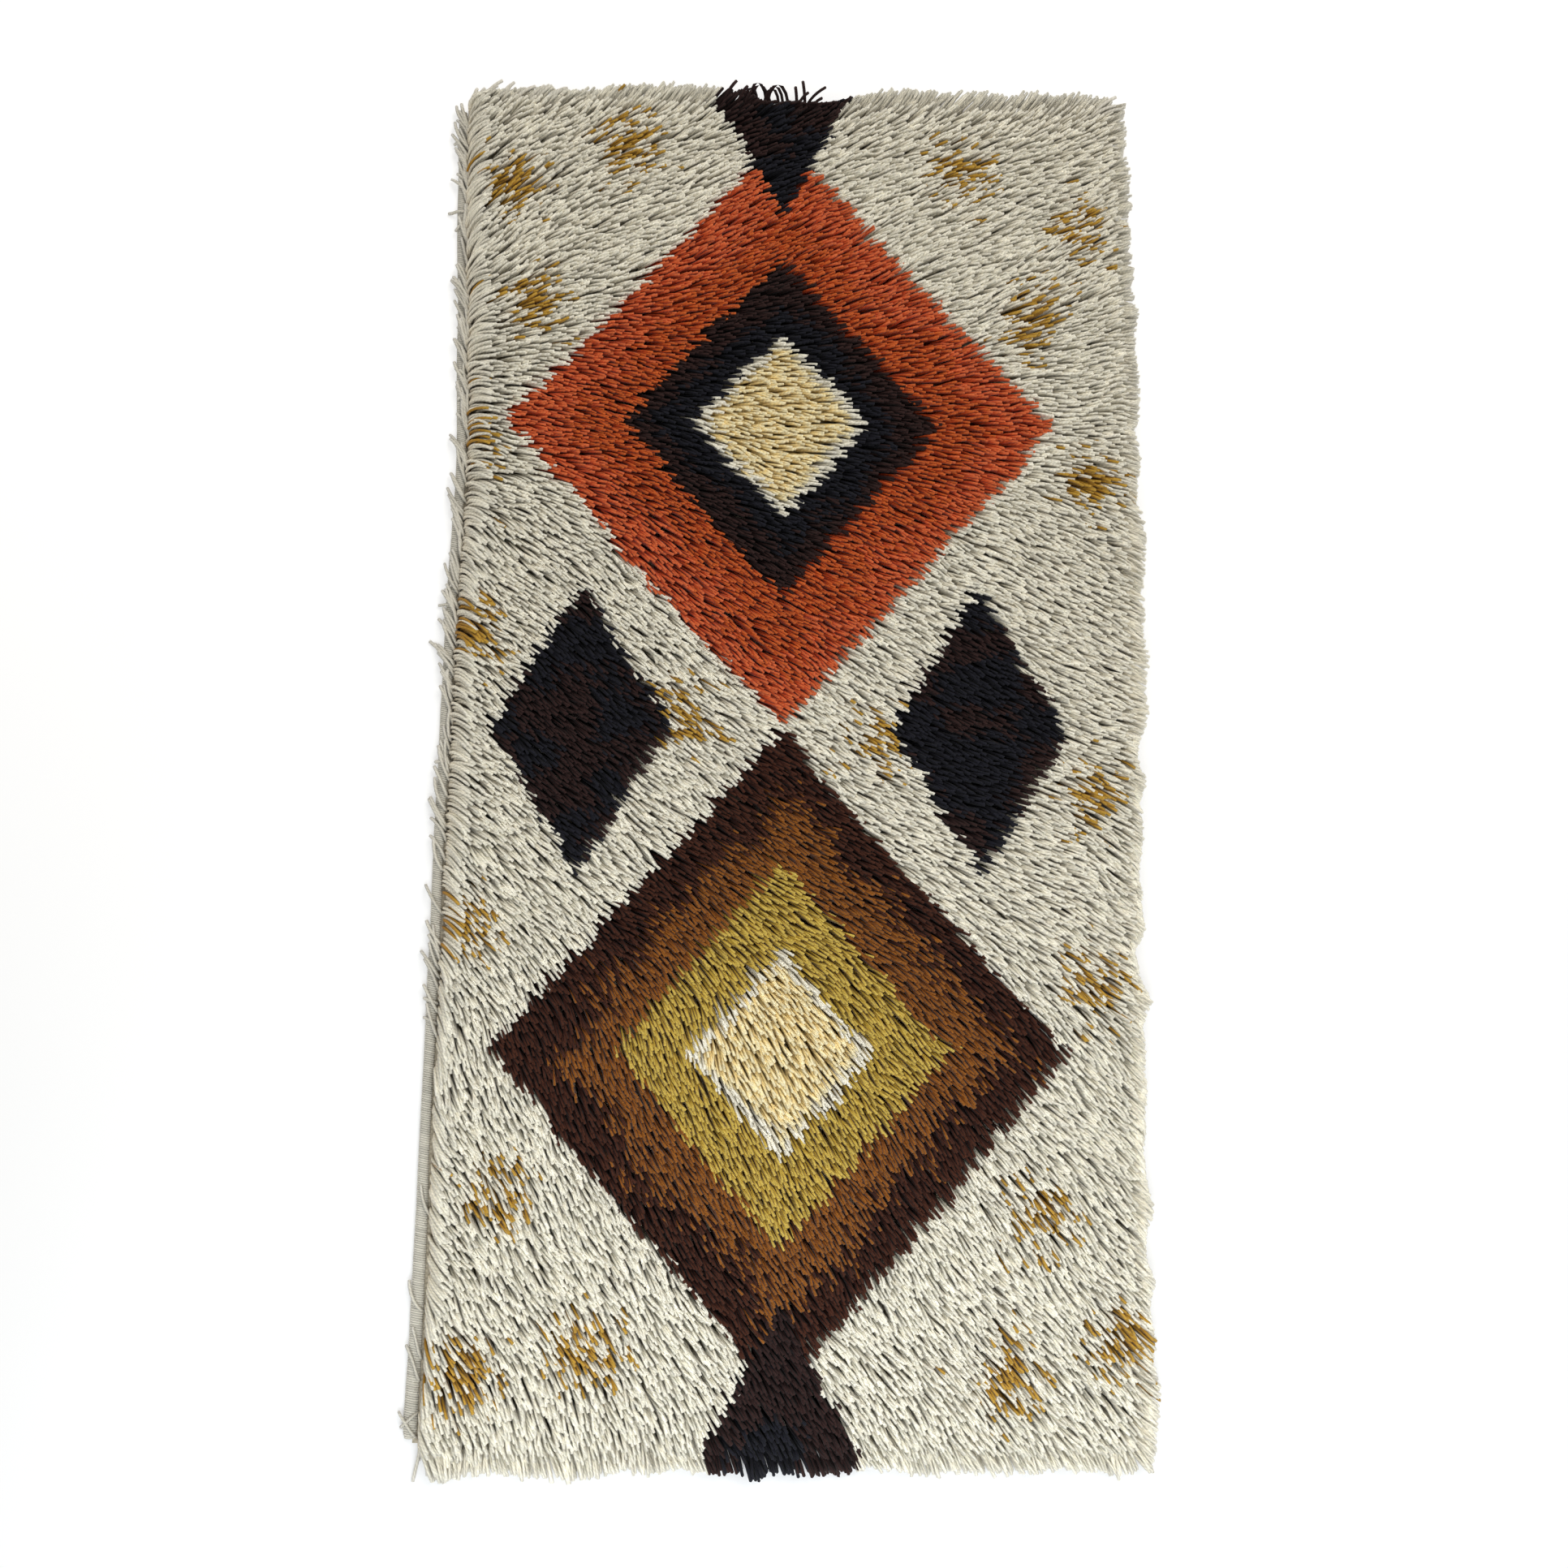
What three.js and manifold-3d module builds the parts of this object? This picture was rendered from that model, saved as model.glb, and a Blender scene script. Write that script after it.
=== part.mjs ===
// A long pile rug lying flat. A woven ground cloth carries a deep pile of knotted wool yarn,
// and each long side is finished with a whipped edge. The pile leans over to one side and
// hangs past the cloth on that side and at both ends.
// Millimetres, +Z up. The origin is the middle of the ground cloth's underside, +X is the
// side that the pile leans to, and +Y is the far end.
import * as THREE from 'three';
import Module from 'manifold-3d';

const wasm = await Module();
wasm.setup();

// Driving sizes
const clothLength = 1400; // the woven length, end to end
const clothThickness = 3;
const clearance = 0.3; // between pieces that touch
const pileDepth = 23.5; // top of the lying pile over the cloth, where it is level
const pileRim = 5; // thickness of the pile's slab at its outline
const pileInset = 5; // the first knots stand this far inside the left edge
const edgeWidth = 9; // whipped edge, across
const edgeHeight = 7;
const leanAngle = -35 * THREE.MathUtils.DEG2RAD; // the way most of the pile leans, from +X
const lumpHeight = 3; // swells and partings in the pile, each way
const pileColumns = 30; // cells across and along the pile's top
const pileRows = 60;

// Where the cloth's long sides run, and how far the pile reaches past the right one
const sideRows = [
  { y: -700, left: -356, right: 345, overhang: 21 },
  { y: -600, left: -353, right: 346, overhang: 23 },
  { y: -450, left: -351, right: 347, overhang: 22 },
  { y: -300, left: -349, right: 348, overhang: 23 },
  { y: -262, left: -349, right: 348, overhang: 26 },
  { y: -210, left: -348, right: 348, overhang: 7 },
  { y: -150, left: -348, right: 349, overhang: 20 },
  { y: 0, left: -346, right: 351, overhang: 26 },
  { y: 120, left: -344, right: 353, overhang: 30 },
  { y: 290, left: -339, right: 354, overhang: 29 },
  { y: 430, left: -343, right: 353, overhang: 28 },
  { y: 590, left: -348, right: 351, overhang: 26 },
  { y: 700, left: -350, right: 350, overhang: 26 },
];

// How far the pile reaches past the cloth at its near and far ends
const endRows = [
  { x: -350, near: 25, far: 7 },
  { x: -250, near: 30, far: 13 },
  { x: -130, near: 26, far: 20 },
  { x: -50, near: 27, far: 13 },
  { x: 30, near: 32, far: 5 },
  { x: 120, near: 30, far: 17 },
  { x: 260, near: 34, far: 19 },
  { x: 350, near: 30, far: 16 },
];

// Rim locks, side by side along each edge: their number, how wide each is at its root, and
// how far the slab stays short of their tips
const rimSides = [
  { name: 'right', count: 50, width: 22, reach: 15 },
  { name: 'near', count: 29, width: 20, reach: 17 },
  { name: 'far', count: 26, width: 22, reach: 9 },
];

// Loose strands that fall out over the left edge, by their place along it
const looseAtLeft = [
  { y: -612, out: 7 },
  { y: -470, out: 4 },
  { y: -330, out: 4 },
  { y: -236, out: 6 },
  { y: -62, out: 6 },
  { y: 22, out: 4 },
  { y: 124, out: 8 },
  { y: 500, out: 6 },
];

// Loose strands that stand out past the far end, by their place along it
const looseAtFarEnd = [
  { x: -57, out: 21, side: 10 },
  { x: -38, out: 24, side: 12 },
  { x: -24, out: 22, side: -10 },
  { x: -4, out: 20, side: 16 },
  { x: 12, out: 21, side: -6 },
  { x: 24, out: 27, side: -3 },
  { x: 34, out: 24, side: 14 },
];

// A number from 0 to 1 that is always the same for the same two
const chance = (n, salt) => {
  const wave = Math.sin(n * 12.9898 + salt * 78.233) * 43758.5453;
  return wave - Math.floor(wave);
};

// A column of a table, eased between its rows
function fromTable(rows, along, column, at) {
  const last = rows.length - 1;
  const clamped = THREE.MathUtils.clamp(at, rows[0][along], rows[last][along]);
  const k = Math.min(last - 1, rows.findLastIndex((row) => row[along] <= clamped));
  const span = rows[k + 1][along] - rows[k][along];
  const share = THREE.MathUtils.smoothstep((clamped - rows[k][along]) / span, 0, 1);
  return THREE.MathUtils.lerp(rows[k][column], rows[k + 1][column], share);
}

const sideAt = (y, column) => fromTable(sideRows, 'y', column, y);
const endAt = (x, column) => fromTable(endRows, 'x', column, x);
const reachOf = (name) => rimSides.find((side) => side.name === name).reach;

// A mesh's geometry from points and the triangles between them
function geometryOf(points, triangles) {
  const geometry = new THREE.BufferGeometry();
  geometry.setAttribute('position', new THREE.Float32BufferAttribute(points.flat(), 3));
  geometry.setIndex(triangles);
  geometry.computeVertexNormals();
  return geometry;
}

// A closed body through rings of the same number of points, with flat ends
function loft(rings) {
  const around = rings[0].length;
  const triangles = [];
  for (let k = 0; k < rings.length - 1; k++) {
    for (let i = 0; i < around; i++) {
      const a = k * around + i;
      const b = k * around + ((i + 1) % around);
      triangles.push(a, b, b + around, a, b + around, a + around);
    }
  }
  const end = (rings.length - 1) * around;
  for (let i = 1; i < around - 1; i++) {
    triangles.push(0, i + 1, i, end, end + i, end + i + 1);
  }
  return geometryOf(rings.flat(), triangles);
}

// Places along the cloth where its sides and the whipped edges bend a little
const stations = Array.from({ length: 57 }, (_, k) => clothLength * (k / 56 - 0.5));

// The woven ground: one flat sheet with the table's slightly uneven sides
function groundCloth() {
  const outline = [
    ...stations.map((y) => new THREE.Vector2(sideAt(y, 'right'), y)),
    ...stations.toReversed().map((y) => new THREE.Vector2(sideAt(y, 'left'), y)),
  ];
  const shape = new THREE.Shape(outline);
  return new THREE.ExtrudeGeometry(shape, { depth: clothThickness, bevelEnabled: false });
}

// The whipped edges stop a little short of the cloth's ends
const edgeStations = stations.map((y) => THREE.MathUtils.clamp(y, -696, 694));

// One whipped edge: a flattened cord along the cloth's side, narrowing at both ends
function whippedEdge(column, outward) {
  const corners = 8;
  const rings = edgeStations.map((y, k) => {
    const atEnd = k === 0 || k === edgeStations.length - 1;
    const size = atEnd ? 0.6 : 0.94 + 0.06 * chance(k, outward);
    const width = edgeWidth * size;
    const x = sideAt(y, column) + outward * (clearance + edgeWidth / 2);
    return Array.from({ length: corners }, (_, i) => {
      const angle = -((i + 0.5) / corners) * 2 * Math.PI;
      const across = ((Math.cos(angle) / Math.cos(Math.PI / corners)) * width) / 2;
      const up = Math.sin(angle) / Math.sin((3 * Math.PI) / corners);
      return [x + across, y, clearance + (edgeHeight / 2) * (1 + up) * size];
    });
  });
  return loft(rings);
}

// The room that the right whipped edge needs below the pile that lies over it
function roomForRightEdge() {
  const top = edgeHeight + 2 * clearance;
  const rings = edgeStations.map((y, k) => {
    const atEnd = k === 0 || k === edgeStations.length - 1;
    const end = atEnd ? y + Math.sign(y) * clearance : y;
    const inner = sideAt(y, 'right') - clearance;
    const outer = inner + edgeWidth + 3 * clearance;
    return [[inner, end, -top], [inner, end, top], [outer, end, top], [outer, end, -top]];
  });
  return loft(rings);
}

// Swells, ridges and partings of the pile, combed along the way it leans
function lumpAt(x, y) {
  const along = x * Math.cos(leanAngle) + y * Math.sin(leanAngle);
  const across = -x * Math.sin(leanAngle) + y * Math.cos(leanAngle);
  const ridges = Math.sin((across / 74) * 2 * Math.PI + 1.6 * Math.sin(along / 55));
  const steps = Math.sin((along / 58) * 2 * Math.PI + 1.9 * Math.sin(across / 47));
  const swell = Math.sin(x / 96 + 1.3 * Math.sin(y / 120)) * Math.cos(y / 88);
  return lumpHeight * (0.42 * ridges + 0.38 * steps + 0.4 * swell);
}

// The pile's own outline, short of the tips of the rim locks
const pileLeft = (y) => sideAt(y, 'left') + pileInset;
const pileRight = (y) => sideAt(y, 'right') + sideAt(y, 'overhang') - reachOf('right');
const pileNear = (x) => -clothLength / 2 - endAt(x, 'near') + reachOf('near');
const pileFar = (x) => clothLength / 2 + endAt(x, 'far') - reachOf('far');

// Closer cells near the rim, where the pile rounds over
const spread = (s) => THREE.MathUtils.lerp(s, (1 - Math.cos(Math.PI * s)) / 2, 0.4);

// Height of the pile over the cloth, from its distance to each side of its outline
function pileHeight(x, y) {
  const rounding = [
    (x - pileLeft(y)) / 24,
    (pileRight(y) - x) / 34,
    (y - pileNear(x)) / 36,
    (pileFar(x) - y) / 26,
  ];
  const level = rounding.reduce((height, share) => {
    const inner = 1 - THREE.MathUtils.clamp(share, 0, 1);
    return height * Math.sqrt(1 - inner * inner);
  }, 1);
  return pileRim + level * (pileDepth - pileRim + lumpAt(x, y));
}

// The pile's slab: a lumpy top, a low rim all round and a flat underside on the cloth
function pileSlab() {
  const base = clothThickness + clearance;
  const points = [];
  const indexAt = (i, j) => j * (pileColumns + 1) + i;
  for (let j = 0; j <= pileRows; j++) {
    for (let i = 0; i <= pileColumns; i++) {
      const s = spread(i / pileColumns);
      const t = spread(j / pileRows);
      const roughX = THREE.MathUtils.lerp(pileLeft(0), pileRight(0), s);
      const y = THREE.MathUtils.lerp(pileNear(roughX), pileFar(roughX), t);
      const x = THREE.MathUtils.lerp(pileLeft(y), pileRight(y), s);
      points.push([x, y, base + pileHeight(x, y)]);
    }
  }
  const triangles = [];
  for (let j = 0; j < pileRows; j++) {
    for (let i = 0; i < pileColumns; i++) {
      const [a, b] = [indexAt(i, j), indexAt(i + 1, j)];
      const [c, d] = [indexAt(i + 1, j + 1), indexAt(i, j + 1)];
      triangles.push(a, b, c, a, c, d);
    }
  }
  const rim = [];
  for (let i = 0; i < pileColumns; i++) rim.push(indexAt(i, 0));
  for (let j = 0; j < pileRows; j++) rim.push(indexAt(pileColumns, j));
  for (let i = pileColumns; i > 0; i--) rim.push(indexAt(i, pileRows));
  for (let j = pileRows; j > 0; j--) rim.push(indexAt(0, j));
  const firstBelow = points.length;
  rim.forEach((k) => points.push([points[k][0], points[k][1], base]));
  rim.forEach((k, n) => {
    const next = (n + 1) % rim.length;
    triangles.push(k, firstBelow + n, firstBelow + next, k, firstBelow + next, rim[next]);
  });
  const below = rim.map((k) => new THREE.Vector2(points[k][0], points[k][1]));
  THREE.ShapeUtils.triangulateShape(below, []).forEach(([a, b, c]) => {
    triangles.push(firstBelow + a, firstBelow + c, firstBelow + b);
  });
  return geometryOf(points, triangles);
}

// One lock of yarn with four sides, through places given as point, width and thickness
function lock(places, outward) {
  const across = new THREE.Vector3(-outward.y, outward.x, 0).normalize();
  return loft(places.map(({ at, width, thick }) => {
    const side = across.clone().multiplyScalar(width / 2);
    return [
      [at.x, at.y, at.z + thick / 2],
      [at.x - side.x, at.y - side.y, at.z],
      [at.x, at.y, at.z - thick / 2],
      [at.x + side.x, at.y + side.y, at.z],
    ];
  }));
}

// Where a rim lock starts and ends, for its side and its place along it from 0 to 1
function rimPlace(name, share) {
  if (name === 'right') {
    const y = THREE.MathUtils.lerp(-clothLength / 2 - 6, clothLength / 2 + 2, share);
    return { x: pileRight(y), y, out: new THREE.Vector2(1, -0.25) };
  }
  const x = THREE.MathUtils.lerp(sideAt(0, 'left') + 14, sideAt(0, 'right') + 8, share);
  return name === 'near'
    ? { x, y: pileNear(x), out: new THREE.Vector2(0.2 + 0.2 * share, -1) }
    : { x, y: pileFar(x), out: new THREE.Vector2(0.55, 1) };
}

// Rim locks along one side, which droop from the pile to just over the floor
function rimLocks({ name, count, width, reach }) {
  const salt = name.length;
  const drop = name === 'far' ? 0.35 : 1;
  return Array.from({ length: count }, (_, n) => {
    const { x, y, out } = rimPlace(name, (n + 0.5 + 0.3 * (chance(n, salt) - 0.5)) / count);
    const length = (reach * (0.82 + 0.36 * chance(n, salt + 1))) / out.length();
    const wide = width * (0.8 + 0.4 * chance(n, salt + 2));
    const place = (share, z, size) => ({
      at: new THREE.Vector3(x + out.x * share * length, y + out.y * share * length, z),
      width: wide * size,
      thick: 9 * size,
    });
    const rootHeight = clothThickness + pileRim + 5 + 2 * chance(n, salt + 4);
    const onEdge = name === 'right' && sideAt(y, 'overhang') < edgeWidth + 5;
    const low = 2.2 + 2 * chance(n, salt + 3);
    const tipHeight = onEdge ? 11 : THREE.MathUtils.lerp(rootHeight, low, drop);
    const middleHeight = THREE.MathUtils.lerp(rootHeight, tipHeight, name === 'right' ? 0.2 : 0.45);
    return lock(
      [place(-1.1, rootHeight, 0.8), place(0.35, middleHeight, 1), place(1, tipHeight, 0.34)],
      out,
    );
  });
}

// A thin loose lock that clears the left whipped edge and ends past it
function lockOverLeftEdge({ y, out }) {
  const edge = sideAt(y, 'left') - clearance - edgeWidth;
  const top = clearance + edgeHeight + 4;
  const place = (x, z, width) => ({ at: new THREE.Vector3(x, y, z), width, thick: 3.6 });
  return lock(
    [place(edge + 34, top + 4, 7), place(edge + 11, top + 4, 6.5), place(edge - out, top - 1, 3.2)],
    new THREE.Vector2(-1, 0),
  );
}

// A thin loose lock that stands out past the far end
function lockPastFarEnd({ x, out, side }) {
  const y = clothLength / 2;
  const place = (share, z, width) => ({
    at: new THREE.Vector3(x + side * share, y + out * share, z),
    width,
    thick: 4,
  });
  return lock(
    [place(-0.7, 12, 6), place(0.45, 21, 5.5), place(1, 25, 3)],
    new THREE.Vector2(side, out),
  );
}

// A closed three.js geometry as a solid that can be joined
const solidOf = (geometry) => new wasm.Manifold(new wasm.Mesh({
  numProp: 3,
  vertProperties: geometry.getAttribute('position').array,
  triVerts: new Uint32Array(geometry.getIndex().array),
}));

// The pile with all its locks joined into one piece
function shagPile() {
  const locks = [
    ...rimSides.flatMap(rimLocks),
    ...looseAtLeft.map(lockOverLeftEdge),
    ...looseAtFarEnd.map(lockPastFarEnd),
  ];
  const joined = locks.reduce((pile, geometry) => pile.add(solidOf(geometry)), solidOf(pileSlab()));
  const laid = joined.subtract(solidOf(roomForRightEdge()));
  // Locks that meet can shut in small hollows, so only the outer skin is kept
  const skins = laid.decompose().toSorted((a, b) => b.volume() - a.volume());
  const { numProp, vertProperties, triVerts } = skins[0].simplify(0.02).getMesh();
  const geometry = new THREE.BufferGeometry();
  const positions = new Float32Array((vertProperties.length / numProp) * 3);
  for (let v = 0; v < positions.length / 3; v++) {
    positions.set(vertProperties.subarray(v * numProp, v * numProp + 3), v * 3);
  }
  geometry.setAttribute('position', new THREE.BufferAttribute(positions, 3));
  geometry.setIndex(Array.from(triVerts));
  geometry.computeVertexNormals();
  return geometry;
}

const cloth = { color: 0x9c9078, roughness: 0.95, metalness: 0 };
const creamWool = { color: 0xd2c9b4, roughness: 0.9, metalness: 0 };
const whipping = { color: 0xb9b09b, roughness: 0.88, metalness: 0 };

const rug = new THREE.Group();
const add = (name, geometry, finish) => {
  const mesh = new THREE.Mesh(geometry, new THREE.MeshStandardMaterial(finish));
  mesh.name = name;
  rug.add(mesh);
};

add('ground_cloth', groundCloth(), cloth);
add('shag_pile', shagPile(), creamWool);
add('whipped_edge_left', whippedEdge('left', -1), whipping);
add('whipped_edge_right', whippedEdge('right', 1), whipping);

export default rug;
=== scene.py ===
import math

import bpy
import numpy as np
from mathutils import Matrix, Vector
from mathutils.kdtree import KDTree


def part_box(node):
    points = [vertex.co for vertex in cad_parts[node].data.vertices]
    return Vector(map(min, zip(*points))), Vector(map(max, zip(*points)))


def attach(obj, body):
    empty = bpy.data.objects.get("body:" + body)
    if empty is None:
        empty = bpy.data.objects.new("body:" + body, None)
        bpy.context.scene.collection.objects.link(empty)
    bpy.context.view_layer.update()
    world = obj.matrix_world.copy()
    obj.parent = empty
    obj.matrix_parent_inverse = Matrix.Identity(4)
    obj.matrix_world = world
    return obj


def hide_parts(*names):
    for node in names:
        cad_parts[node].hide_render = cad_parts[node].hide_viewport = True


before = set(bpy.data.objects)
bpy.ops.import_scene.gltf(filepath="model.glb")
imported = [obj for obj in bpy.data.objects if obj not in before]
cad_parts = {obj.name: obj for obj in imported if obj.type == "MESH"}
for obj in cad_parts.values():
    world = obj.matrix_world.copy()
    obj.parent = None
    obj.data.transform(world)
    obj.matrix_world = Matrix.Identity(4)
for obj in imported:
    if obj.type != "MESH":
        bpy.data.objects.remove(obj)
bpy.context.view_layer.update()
scene = bpy.context.scene
clothLow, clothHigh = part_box("ground_cloth")

# Lengths in this script are millimetres until a mesh is made
mm = 0.001
clothTop = clothHigh.z / mm
clothNear, clothFar = clothLow.y / mm, clothHigh.y / mm


def report(text):
    print("rug:", text, flush=True)


# The cloth's long sides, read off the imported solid
clothPoints = np.array([v.co[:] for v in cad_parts["ground_cloth"].data.vertices]) / mm
stationY = np.unique(np.round(clothPoints[:, 1], 2))
stationRows = [clothPoints[abs(clothPoints[:, 1] - y) < 0.1, 0] for y in stationY]
leftX = np.array([row.min() for row in stationRows])
rightX = np.array([row.max() for row in stationRows])


def leftSide(y):
    return np.interp(y, stationY, leftX)


def rightSide(y):
    return np.interp(y, stationY, rightX)


def softNoise(x, y, size, seed):
    # Smooth noise from -1 to 1, with bumps about as wide as size
    grid = np.random.default_rng(seed).uniform(-1, 1, (200, 200))
    across, along = x / size + 70.3, y / size + 70.7
    i, j = np.floor(across).astype(int) % 198, np.floor(along).astype(int) % 198
    u, v = across - np.floor(across), along - np.floor(along)
    u, v = u * u * (3 - 2 * u), v * v * (3 - 2 * v)
    near = grid[i, j] * (1 - u) + grid[i + 1, j] * u
    far = grid[i, j + 1] * (1 - u) + grid[i + 1, j + 1] * u
    return near * (1 - v) + far * v


def column(rows, at, name, key):
    # A column of a small table, at any place between its rows
    return np.interp(at, [row[key] for row in rows], [row[name] for row in rows])


def smoothStep(value, low, high):
    share = np.clip((value - low) / (high - low), 0, 1)
    return share * share * (3 - 2 * share)


# Shader node groups

def addNode(tree, kind, place, **values):
    node = tree.nodes.new(kind)
    node.location = place
    for name, value in values.items():
        setattr(node, name, value)
    return node


def newGroup(name, inputs, outputs):
    tree = bpy.data.node_groups.new(name, "ShaderNodeTree")
    for socketName, kind, value in inputs:
        socket = tree.interface.new_socket(socketName, in_out="INPUT", socket_type=kind)
        socket.default_value = value
    for socketName, kind in outputs:
        tree.interface.new_socket(socketName, in_out="OUTPUT", socket_type=kind)
    start = addNode(tree, "NodeGroupInput", (-1200, 0))
    end = addNode(tree, "NodeGroupOutput", (900, 0))
    return tree, start, end


def maths(tree, operation, a, b=None, place=(0, 0), clamp=False):
    node = addNode(tree, "ShaderNodeMath", place, operation=operation, use_clamp=clamp)
    for k, value in enumerate((a, b)):
        if value is None:
            continue
        if isinstance(value, (int, float)):
            node.inputs[k].default_value = value
        else:
            tree.links.new(value, node.inputs[k])
    return node.outputs[0]


def mixColour(tree, share, a, b, place=(0, 0), blend="MIX"):
    node = addNode(tree, "ShaderNodeMix", place, data_type="RGBA", blend_type=blend)
    for socket, value in ((node.inputs[0], share), (node.inputs[6], a), (node.inputs[7], b)):
        if isinstance(value, (int, float, tuple)):
            socket.default_value = value
        else:
            tree.links.new(value, socket)
    return node.outputs[2]


def remap(tree, value, low, high, toLow, toHigh, place=(0, 0)):
    node = addNode(tree, "ShaderNodeMapRange", place, interpolation_type="SMOOTHSTEP")
    for k, number in enumerate((low, high, toLow, toHigh)):
        node.inputs[k + 1].default_value = number
    tree.links.new(value, node.inputs[0])
    return node.outputs[0]


def woolYarnGroup():
    # Twisted wool: the colour along one cut end of yarn, with painted shade in its ply grooves and painted
    # light and shade from root to tip, and the relief of its plies and fibres
    tree, start, end = newGroup(
        "woolYarn",
        [
            ("Root Colour", "NodeSocketColor", (0.2, 0.2, 0.2, 1)),
            ("Yarn Colour", "NodeSocketColor", (0.5, 0.5, 0.5, 1)),
            ("Tip Colour", "NodeSocketColor", (0.8, 0.8, 0.8, 1)),
            ("Ply Depth", "NodeSocketFloat", 0.2),
            ("Fibre Depth", "NodeSocketFloat", 0.15),
            ("Turns", "NodeSocketFloat", 9.0),
        ],
        [("Colour", "NodeSocketColor"), ("Height", "NodeSocketFloat")],
    )
    along = addNode(tree, "ShaderNodeAttribute", (-1200, 420), attribute_name="along")
    tone = addNode(tree, "ShaderNodeAttribute", (-1200, 620), attribute_name="tone")
    turn = addNode(tree, "ShaderNodeUVMap", (-1200, -260), uv_map="yarnTurn")
    parts = addNode(tree, "ShaderNodeSeparateXYZ", (-1000, -260))
    tree.links.new(turn.outputs[0], parts.inputs[0])
    # Painted light and shade: the lower part of each end, deep in the pile's gaps, takes the root colour, and
    # its tip the lighter tip colour as painted highlight
    body = remap(tree, along.outputs["Fac"], 0.1, 0.62, 0, 1, (-900, 420))
    tip = remap(tree, along.outputs["Fac"], 0.72, 1.0, 0, 1, (-900, 200))
    colour = mixColour(tree, body, start.outputs[0], start.outputs[1], (-650, 420))
    colour = mixColour(tree, tip, colour, start.outputs[2], (-450, 420))
    climb = maths(tree, "MULTIPLY", parts.outputs[1], start.outputs["Turns"], (-800, -260))
    doubled = maths(tree, "MULTIPLY", parts.outputs[0], 2, (-800, -420))
    phase = maths(tree, "ADD", doubled, climb, (-600, -260))
    wave = maths(tree, "SINE", maths(tree, "MULTIPLY", phase, 2 * math.pi, (-450, -260)), None, (-300, -260))
    plies = maths(tree, "MULTIPLY_ADD", wave, 0.5, (-150, -260))
    plies.node.inputs[2].default_value = 0.5
    place = addNode(tree, "ShaderNodeTexCoord", (-1200, -620))
    fibre = addNode(tree, "ShaderNodeTexNoise", (-900, -620))
    fibre.inputs["Scale"].default_value = 900
    fibre.inputs["Detail"].default_value = 3
    tree.links.new(place.outputs["Object"], fibre.inputs["Vector"])
    low = maths(tree, "SUBTRACT", 1.0, plies, (0, -260))
    grooves = maths(tree, "MULTIPLY", low, start.outputs["Ply Depth"], (150, -260))
    uneven = maths(tree, "SUBTRACT", fibre.outputs["Fac"], 0.5, (0, -620))
    fuzz = maths(tree, "MULTIPLY", uneven, start.outputs["Fibre Depth"], (150, -620))
    # Painted shade: the grooves between plies darken the colour as well as the bump
    grooved = maths(tree, "SUBTRACT", tone.outputs["Fac"], grooves, (300, -100))
    light = maths(tree, "ADD", grooved, fuzz, (450, -100))
    shade = addNode(tree, "ShaderNodeCombineColor", (550, 100))
    for k in range(3):
        tree.links.new(light, shade.inputs[k])
    colour = mixColour(tree, 1.0, colour, shade.outputs[0], (700, 300), "MULTIPLY")
    tree.links.new(colour, end.inputs["Colour"])
    height = maths(tree, "MULTIPLY_ADD", fibre.outputs["Fac"], 0.4, (600, -420))
    tree.links.new(plies, height.node.inputs[2])
    tree.links.new(height, end.inputs["Height"])
    return tree


def plainWeaveGroup():
    # A weft-faced weave in the plane of the cloth
    tree, start, end = newGroup(
        "plainWeave",
        [
            ("Warp Colour", "NodeSocketColor", (0.3, 0.3, 0.3, 1)),
            ("Weft Colour", "NodeSocketColor", (0.5, 0.5, 0.5, 1)),
            ("Picks", "NodeSocketFloat", 1.0),
            ("Ends", "NodeSocketFloat", 1.0),
            ("Slub", "NodeSocketFloat", 0.2),
        ],
        [("Colour", "NodeSocketColor"), ("Height", "NodeSocketFloat")],
    )
    place = addNode(tree, "ShaderNodeTexCoord", (-1200, 200))
    parts = addNode(tree, "ShaderNodeSeparateXYZ", (-1000, 200))
    tree.links.new(place.outputs["Object"], parts.inputs[0])
    waves = []
    for k, (axis, name) in enumerate(((0, "Ends"), (1, "Picks"))):
        height = 200 - 200 * k
        count = maths(tree, "MULTIPLY", parts.outputs[axis], start.outputs[name], (-800, height))
        phase = maths(tree, "MULTIPLY", count, math.pi, (-650, height))
        waves.append(maths(tree, "SINE", phase, None, (-500, height)))
    over = maths(tree, "MULTIPLY", waves[0], waves[1], (-350, 100))
    slubs = addNode(tree, "ShaderNodeTexNoise", (-800, -300))
    slubs.inputs["Scale"].default_value = 160
    slubs.inputs["Detail"].default_value = 4
    tree.links.new(place.outputs["Object"], slubs.inputs["Vector"])
    rough = maths(tree, "MULTIPLY", slubs.outputs["Fac"], start.outputs["Slub"], (-500, -300))
    weave = maths(tree, "MULTIPLY_ADD", over, 0.5, (-200, 100))
    weave.node.inputs[2].default_value = 0.35
    mask = maths(tree, "ADD", weave, rough, (-50, 0), True)
    colour = mixColour(tree, mask, start.outputs[0], start.outputs[1], (300, 200))
    tree.links.new(colour, end.inputs["Colour"])
    tree.links.new(mask, end.inputs["Height"])
    return tree


woolYarn = woolYarnGroup()
plainWeave = plainWeaveGroup()


def linear(colour, scale=1.0):
    # A colour given as 0 to 255 in sRGB, as the shader's linear numbers
    share = [min(max(c / 255 * scale, 0), 1) for c in colour]
    return tuple(c / 12.92 if c <= 0.04045 else ((c + 0.055) / 1.055) ** 2.4 for c in share) + (1.0,)


def newMaterial(name, roughness, sheen=0.0):
    material = bpy.data.materials.new(name)
    material.use_nodes = True
    shader = material.node_tree.nodes["Principled BSDF"]
    shader.inputs["Roughness"].default_value = roughness
    shader.inputs["Sheen Weight"].default_value = sheen
    shader.inputs["Sheen Roughness"].default_value = 0.5
    shader.inputs["Specular IOR Level"].default_value = 0.25
    return material, shader


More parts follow.
